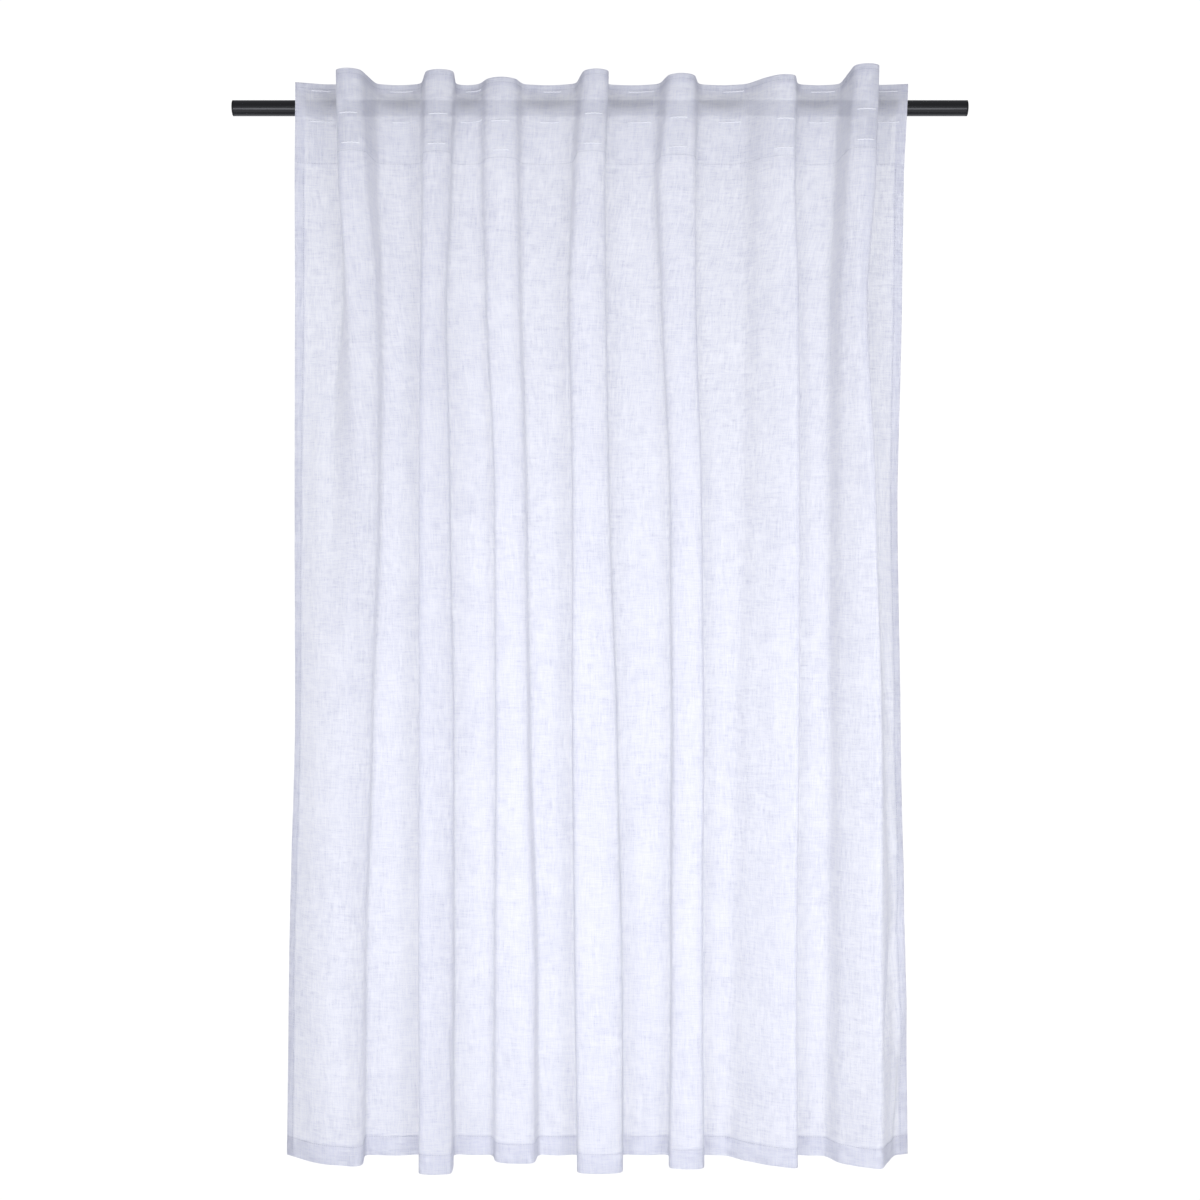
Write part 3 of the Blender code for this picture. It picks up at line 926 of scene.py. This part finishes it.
class CURTAIN_OT_heading_tape(Operator):
    """Makes the heading tape along the back of the top edge"""

    bl_idname = "curtain.heading_tape"
    bl_label = "Heading Tape"

    def execute(self, context):
        settings = context.scene.curtain
        surface = panel_surface()
        inset = settings.side_hem + 2 * MM
        along = surface[0]
        s = along[(along > inset) & (along < settings.flat_width - inset)]
        ring = flat_ring(4.5 * MM, TAPE_END, *TAPE_LAYER)
        parts = [band_mesh("heading_tape", surface, s, *ring)]
        under = flat_ring(5.5 * MM, TAPE_END - 1 * MM, *TAPE_END_LAYER)
        ends = [s[s < inset + settings.tape_turn], s[s > settings.flat_width - inset - settings.tape_turn]]
        parts += [band_mesh("tape_end", surface, end, *under) for end in ends]
        mesh = merged(parts)
        nodes = numbered("tape_space", 8) + numbered("tape_pleat", 7)
        add_piece("heading_tape", mesh, finish_of(woven_tape), "left_edge", nodes)
        return {"FINISHED"}


class CURTAIN_OT_loops(Operator):
    """Makes the loops round the rod and the spare loops inside the pleats"""

    bl_idname = "curtain.loops"
    bl_label = "Loops"

    def execute(self, context):
        webbing = finish_of(woven_tape)
        bodies = ["left_edge", *[f"space_{number}_strip" for number in range(2, 8)], "right_edge"]
        for number, (body, (low, high)) in enumerate(zip(bodies, ROD_LOOPS), start=1):
            y, z = loop_path(low[2], high[2])
            name = f"woven_loop_{number}"
            mesh = ribbon_mesh(name, (low[0], high[0]), y, z)
            add_piece(name, mesh, webbing, body, [f"rod_loop_{number}"], gathers=False)
        surface = panel_surface()
        for number, (low, high) in enumerate(SPARE_LOOPS, start=1):
            top, bottom = TOP - high[2], TOP - low[2]
            middle = crest_s(surface, number, (top + bottom) / 2)
            half = (high[0] - low[0]) / 2
            s = np.linspace(middle - half, middle + half, 12)
            v = np.linspace(top, bottom, 22)
            free = np.clip((v - top - LOOP_SEWN) / (bottom - top - 2 * LOOP_SEWN), 0, 1)
            bow = 1.6 * MM * np.sin(free * math.pi) ** 2
            front = SPARE_LOOP_FRONT + bow
            ring_v = np.concatenate([v, v[::-1]])
            ring_b = np.concatenate([front, (front + LOOP_WALL)[::-1]])
            name = f"woven_spare_loop_{number}"
            mesh = band_mesh(name, surface, s, ring_v, ring_b)
            add_piece(name, mesh, webbing, "left_edge", [f"spare_loop_{number}"])
        return {"FINISHED"}


class CURTAIN_OT_stitching(Operator):
    """Sews the rows of stitches along the tape and the hems"""

    bl_idname = "curtain.stitching"
    bl_label = "Stitching"

    def execute(self, context):
        settings = context.scene.curtain
        surface = panel_surface()
        pitch, radius = settings.stitch_pitch, settings.thread_radius
        rows = []
        across = np.arange(4 * MM, settings.flat_width - 4 * MM, pitch)
        for height in (TOP_SEAM, TAPE_SEAM, settings.flat_length - HEM_SEAM):
            v = np.full_like(across, height)
            rows.append(stitches(surface, across, v, (1, 0), pitch * STITCH_SHARE, radius, STITCH_LIFT))
        down = np.arange(TAPE_SEAM + 8 * MM, settings.flat_length - 4 * MM, pitch)
        inset = settings.side_hem - 2 * MM
        for edge in (inset, settings.flat_width - inset):
            s = np.full_like(down, edge)
            rows.append(stitches(surface, s, down, (0, 1), pitch * STITCH_SHARE, radius, STITCH_LIFT))
        mesh = thread_mesh("seam_stitches", rows)
        # The seam thread's grey is painted shade for the seam's groove and needle holes.
        add_piece("seam_stitches", mesh, finish_of(seam_thread_painted_shade), "left_edge")
        return {"FINISHED"}


class CURTAIN_OT_bar_tacks(Operator):
    """Sews the bars of thread that hold both ends of each loop"""

    bl_idname = "curtain.bar_tacks"
    bl_label = "Bar Tacks"

    def execute(self, context):
        surface = panel_surface()
        rng = np.random.default_rng(11)
        rows = []
        for low, high in ROD_LOOPS:
            middle = s_at(surface, (low[0] + high[0]) / 2, TOP - low[2])
            for height in (TOP - high[2] + 2 * MM, TOP - low[2] - 2 * MM):
                rows.append(tack(surface, middle, height, (high[0] - low[0]) * rng.uniform(0.9, 1.4)))
        for number, (low, high) in enumerate(SPARE_LOOPS, start=1):
            for height in (TOP - high[2] + 2 * MM, TOP - low[2] - 2 * MM):
                middle = crest_s(surface, number, height)
                rows.append(tack(surface, middle, height, (high[0] - low[0]) * rng.uniform(0.8, 1.0)))
        mesh = thread_mesh("bar_tacks", rows)
        add_piece("bar_tacks", mesh, finish_of(tack_thread), "left_edge")
        return {"FINISHED"}


class CURTAIN_OT_rod(Operator):
    """Makes the rod and its two end plugs"""

    bl_idname = "curtain.rod"
    bl_label = "Rod"

    def execute(self, context):
        bore = ROD_RADIUS - ROD_WALL
        x, radius = rod_profile(ROD_HIGH[0] - ROD_LOW[0], bore)
        tube = turned_mesh("black_rod", x, radius, 96, closed_ring=True)
        tube.set_sharp_from_angle(angle=math.radians(30))
        coat, plastic = finish_of(powder_coat), finish_of(moulded_plastic)
        add_piece("black_rod", tube, coat, "rod", ["rod_tube"], gathers=False)
        for name, box, outward in (("left", PLUG_LEFT, -1), ("right", PLUG_RIGHT, 1)):
            x, radius = plug_profile(box, outward, bore)
            plug = turned_mesh(f"end_plug_{name}", x, radius, 64, closed_ring=False)
            plug.set_sharp_from_angle(angle=math.radians(40))
            add_piece(plug.name, plug, plastic, "rod", [f"rod_plug_{name}"], gathers=False)
        return {"FINISHED"}


COOL_WHITE = "#F4F6FF"  # the studio light's slight coolness


def area_light(name, place_m, aim, size, power):
    """A soft rectangular lamp, aimed at a point."""
    data = bpy.data.lights.new(name, "AREA")
    data.shape = "RECTANGLE"
    data.size, data.size_y = size
    data.energy = power
    data.color = linear(COOL_WHITE)[:3]
    lamp = bpy.data.objects.new(name, data)
    bpy.context.scene.collection.objects.link(lamp)
    lamp.location = place_m
    lamp.rotation_mode = "QUATERNION"
    lamp.rotation_quaternion = (Vector(aim) - Vector(place_m)).to_track_quat("-Z", "Y")
    lamp.visible_camera = False


class CURTAIN_OT_stage(Operator):
    """Sets up the floor, the soft studio light and the camera"""

    bl_idname = "curtain.stage"
    bl_label = "Stage"

    def execute(self, context):
        make_floor()
        make_world(context.scene)
        area_light("front_softbox", (0.05, -1.2, -1.0), (0.05, 0.0, -1.0), (0.9, 1.4), 8.8)
        area_light("front_strip", (0.0, -2.6, 0.1), (0.0, 0.0, -0.2), (1.6, 0.2), 4.0)
        area_light("low_light_left", (-0.93, -2.6, -1.15), (-0.3, 0.0, -0.6), (0.3, 1.2), 3.4)
        area_light("low_light_right", (0.93, -2.6, -1.15), (0.3, 0.0, -0.6), (0.3, 1.2), 3.0)
        area_light("back_light", (0.06, 1.0, -1.0), (0.06, 0.0, -1.0), (0.6, 1.3), 5.0)
        make_camera(context.scene)
        return {"FINISHED"}


def make_floor():
    """A round pale floor below the panel."""
    form = bmesh.new()
    bmesh.ops.create_circle(form, cap_ends=True, segments=96, radius=1.0)
    bmesh.ops.translate(form, vec=(0, 0, BOTTOM - 0.47), verts=form.verts)
    for face in form.faces:
        if face.normal.z < 0:
            face.normal_flip()
    mesh = bpy.data.meshes.new("floor")
    form.to_mesh(mesh)
    form.free()
    floor = bpy.data.objects.new("floor", mesh)
    bpy.context.scene.collection.objects.link(floor)
    mesh.materials.append(finish_of(matt_floor))


def make_world(scene):
    """White surroundings for the camera. The light that reaches the object is nearly white from below, dims
    to less than half from above, and is a little weaker from both sides."""
    world = bpy.data.worlds.new("studio")
    world.use_nodes = True
    tree = world.node_tree
    tree.nodes.clear()
    output = node(tree, "ShaderNodeOutputWorld")
    way = node(tree, "ShaderNodeTexCoord").outputs["Generated"]
    parts = node(tree, "ShaderNodeSeparateXYZ", {0: way})
    height = node(tree, "ShaderNodeMapRange", {
        "Value": parts.outputs["Z"], "From Min": -0.5, "From Max": 0.5, "To Min": 0.98, "To Max": 0.42,
    }).outputs[0]
    sideways = node(tree, "ShaderNodeMath", {0: parts.outputs["X"]}, operation="ABSOLUTE").outputs[0]
    aside = node(tree, "ShaderNodeMapRange", {
        "Value": sideways, "From Min": 0.4, "From Max": 0.95, "To Min": 1.0, "To Max": 0.8,
    }).outputs[0]
    strength = node(tree, "ShaderNodeMath", {0: height, 1: aside}, operation="MULTIPLY").outputs[0]
    path = node(tree, "ShaderNodeLightPath").outputs["Is Camera Ray"]
    level = node(tree, "ShaderNodeMix", {"Factor": path, "A": strength, "B": 1.05}, data_type="FLOAT")
    tint = node(tree, "ShaderNodeMix", {
        "Factor": path, "A": linear(COOL_WHITE), "B": (1, 1, 1, 1),
    }, data_type="RGBA").outputs["Result"]
    shade = node(tree, "ShaderNodeBackground", {"Color": tint, "Strength": level.outputs["Result"]})
    tree.links.new(shade.outputs[0], output.inputs["Surface"])
    scene.world = world


def make_camera(scene):
    """A level camera in front of the panel, far enough off to see the whole rod and the whole drop."""
    data = bpy.data.cameras.new("camera")
    camera = bpy.data.objects.new("camera", data)
    scene.collection.objects.link(camera)
    distance, view_width, height = 2.2, 1.536, -0.633
    data.lens = data.sensor_width * distance / view_width
    camera.location = (0.0, -distance - SPACE_FACE, height)
    camera.rotation_euler = (math.pi / 2, 0, 0)
    scene.camera = camera
    scene.view_settings.view_transform = "Standard"


class CURTAIN_PT_sidebar(Panel):
    """Lists the curtain's settings and makers"""

    bl_label = "Curtain"
    bl_idname = "CURTAIN_PT_sidebar"
    bl_space_type = "VIEW_3D"
    bl_region_type = "UI"
    bl_category = "Curtain"

    def draw(self, context):
        for key in CurtainSettings.__annotations__:
            self.layout.prop(context.scene.curtain, key)
        for maker in MAKERS:
            self.layout.operator(maker.bl_idname)


MAKERS = (
    CURTAIN_OT_rod,
    CURTAIN_OT_panel,
    CURTAIN_OT_heading_tape,
    CURTAIN_OT_loops,
    CURTAIN_OT_stitching,
    CURTAIN_OT_bar_tacks,
    CURTAIN_OT_stage,
)
CLASSES = (CurtainSettings, *MAKERS, CURTAIN_PT_sidebar)


def register():
    for each in CLASSES:
        bpy.utils.register_class(each)
    bpy.types.Scene.curtain = PointerProperty(type=CurtainSettings)


def unregister():
    del bpy.types.Scene.curtain
    for each in reversed(CLASSES):
        bpy.utils.unregister_class(each)


def main():
    register()
    bpy.ops.curtain.rod()
    bpy.ops.curtain.panel()
    bpy.ops.curtain.heading_tape()
    bpy.ops.curtain.loops()
    bpy.ops.curtain.stitching()
    bpy.ops.curtain.bar_tacks()
    bpy.ops.curtain.stage()
    pieces = bpy.data.objects
    sewn_on = [pieces["heading_tape"], pieces["seam_stitches"], pieces["bar_tacks"]]
    sewn_on += [pieces[name] for name in numbered("woven_spare_loop", len(SPARE_LOOPS))]


if __name__ == "__main__":
    main()
